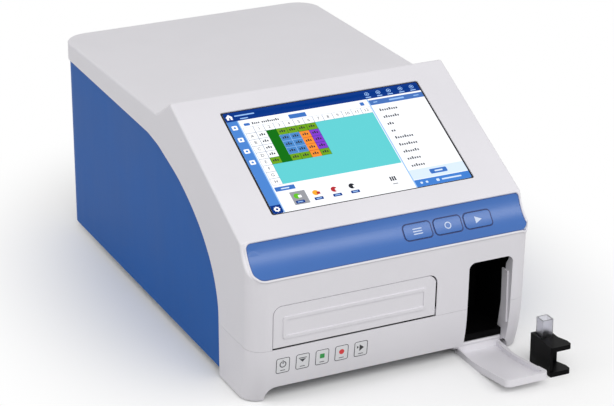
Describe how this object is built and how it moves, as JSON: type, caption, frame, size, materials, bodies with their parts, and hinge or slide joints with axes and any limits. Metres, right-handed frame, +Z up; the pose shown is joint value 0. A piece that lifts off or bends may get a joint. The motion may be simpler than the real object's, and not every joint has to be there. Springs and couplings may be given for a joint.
{
  "type": "microplate reader",
  "caption": "Bench-top microplate reader with a tilted touch screen, a front plate door and an open cuvette port, with its cuvette holder standing beside it.",
  "frame": {"origin": "middle of the whole footprint, on the bench", "axes": "+X to the right seen from the front, +Y from the front to the back, +Z up"},
  "size_m": [0.3156, 0.5878, 0.2493],
  "materials": {
    "cover_white": "satin moulded plastic",
    "panel_blue": "satin painted panel",
    "band_blue": "gloss moulded plastic",
    "touch_glass": "clear",
    "display_face": "lit display",
    "key_label": "printed film",
    "steel": "ground",
    "aluminium": "anodised",
    "bronze": "sintered",
    "black_metal": "satin black",
    "chassis_metal": "zinc plated",
    "black_plastic": "satin black",
    "pulley_metal": "turned",
    "rubber": "matt",
    "circuit_board": "solder mask",
    "optical_glass": "coated",
    "cuvette_clear": "frosted sides"
  },
  "bodies": {
    "root": {"upper_cover": "cover_white", "lower_front": "cover_white", "guide_strip": "cover_white", "side_panel_left": "panel_blue", "side_panel_right": "panel_blue", "band_trim": "band_blue", "display_glass": "touch_glass", "display_panel": "display_face", "touch_keys": "key_label", "display_frame": "steel", "carriage_rods": "steel", "head_rods": "steel", "plate_door_pins": "steel", "cuvette_door_pin": "steel", "screws": "steel", "deck_columns": "steel", "rod_supports": "aluminium", "head_posts": "aluminium", "optics_deck": "aluminium", "motor_bracket": "aluminium", "idler_bracket": "aluminium", "lamp_house": "aluminium", "drive_motor": "black_metal", "head_motor": "black_metal", "wheel_motor": "black_metal", "monochromator_case": "black_metal", "monochromator_lid": "black_metal", "base_tray": "chassis_metal", "rear_panel": "chassis_metal", "power_supply": "chassis_metal", "port_liner": "black_plastic", "fan_frame": "black_plastic", "mains_inlet": "black_plastic", "power_switch_frame": "black_plastic", "detector_bar": "black_plastic", "front_foot_pads": "rubber", "rear_feet": "rubber", "drive_belt": "rubber", "main_board": "circuit_board", "button_board": "circuit_board", "io_board": "circuit_board"},
    "plate_carriage": {"plate_carriage": "aluminium", "carriage_bushes": "bronze"},
    "plate_door": {"plate_door": "cover_white"},
    "drive_pulley": {"drive_pulley": "pulley_metal"},
    "idler_pulley": {"idler_pulley": "black_plastic"},
    "button_left": {"button_left": "band_blue"},
    "button_middle": {"button_middle": "band_blue"},
    "button_right": {"button_right": "band_blue"},
    "cuvette_door": {"cuvette_door": "cover_white"},
    "cuvette_holder": {"cuvette_holder": "black_plastic"},
    "cuvette": {"cuvette": "cuvette_clear"},
    "fan_rotor": {"fan_rotor": "black_plastic"},
    "power_rocker": {"power_rocker": "black_plastic"},
    "optics_head": {"optics_head": "aluminium", "objective_lens": "optical_glass"},
    "head_lead_screw": {"head_lead_screw": "steel"},
    "filter_wheel": {"filter_wheel": "aluminium", "order_filters": "optical_glass"},
    "grating_turret": {"grating_turret": "black_metal"}
  },
  "joints": [
    {"name": "carriage_slide", "type": "slide", "parent": "root", "child": "plate_carriage", "axis": [0, -1, 0], "range_m": [0, 0.285]},
    {"name": "plate_door_hinge", "type": "hinge", "parent": "root", "child": "plate_door", "pos_m": [-0.0478, -0.21171, 0.0626], "axis": [1, 0, 0], "range_deg": [0, 95]},
    {"name": "drive_pulley_spin", "type": "hinge", "parent": "root", "child": "drive_pulley", "pos_m": [0.0212, 0.19289, 0.043], "axis": [1, 0, 0], "range_deg": [-10, 1600]},
    {"name": "idler_pulley_spin", "type": "hinge", "parent": "root", "child": "idler_pulley", "pos_m": [0.0212, -0.18911, 0.043], "axis": [1, 0, 0], "range_deg": [-10, 1600]},
    {"name": "cuvette_door_hinge", "type": "hinge", "parent": "root", "child": "cuvette_door", "pos_m": [0.1007, -0.19461, 0.0108], "axis": [-1, 0, 0], "range_deg": [0, 79]},
    {"name": "fan_spin", "type": "hinge", "parent": "root", "child": "fan_rotor", "pos_m": [-0.0758, 0.27909, 0.12], "axis": [0, 1, 0], "continuous": true},
    {"name": "power_rocker_tilt", "type": "hinge", "parent": "root", "child": "power_rocker", "pos_m": [0.0822, 0.28409, 0.08], "axis": [0, 0, 1], "range_deg": [-12, 0]},
    {"name": "head_slide", "type": "slide", "parent": "root", "child": "optics_head", "axis": [1, 0, 0], "range_m": [-0.0495, 0.0495]},
    {"name": "head_screw_spin", "type": "hinge", "parent": "root", "child": "head_lead_screw", "pos_m": [-0.0058, 0.05089, 0.13], "axis": [1, 0, 0], "range_deg": [-2250, 2250]},
    {"name": "filter_wheel_spin", "type": "hinge", "parent": "root", "child": "filter_wheel", "pos_m": [-0.0058, 0.15089, 0.14], "axis": [1, 0, 0], "continuous": true},
    {"name": "grating_turn", "type": "hinge", "parent": "root", "child": "grating_turret", "pos_m": [-0.0708, 0.15089, 0.13], "axis": [0, 0, 1], "range_deg": [-30, 30]},
    {"name": "holder_lift", "type": "slide", "parent": "root", "child": "cuvette_holder", "axis": [0, 0, 1], "range_m": [0, 0.1]},
    {"name": "cuvette_lift", "type": "slide", "parent": "cuvette_holder", "child": "cuvette", "axis": [0, 0, 1], "range_m": [0, 0.03]},
    {"name": "button_left_press", "type": "slide", "parent": "root", "child": "button_left", "axis": [0, 0.7582, -0.652], "range_m": [0, 0.0012], "stiffness_N_per_m": 800, "springref_m": -0.0005},
    {"name": "button_middle_press", "type": "slide", "parent": "root", "child": "button_middle", "axis": [0, 0.7582, -0.652], "range_m": [0, 0.0012], "stiffness_N_per_m": 800, "springref_m": -0.0005},
    {"name": "button_right_press", "type": "slide", "parent": "root", "child": "button_right", "axis": [0, 0.7582, -0.652], "range_m": [0, 0.0012], "stiffness_N_per_m": 800, "springref_m": -0.0005}
  ],
  "couplings": [
    {"joint": "plate_door_hinge", "follows": "carriage_slide", "rad_per_m": 5.8172},
    {"joint": "drive_pulley_spin", "follows": "carriage_slide", "rad_per_m": 96.154},
    {"joint": "idler_pulley_spin", "follows": "carriage_slide", "rad_per_m": 96.154},
    {"joint": "head_screw_spin", "follows": "head_slide", "rad_per_m": 785.4}
  ]
}
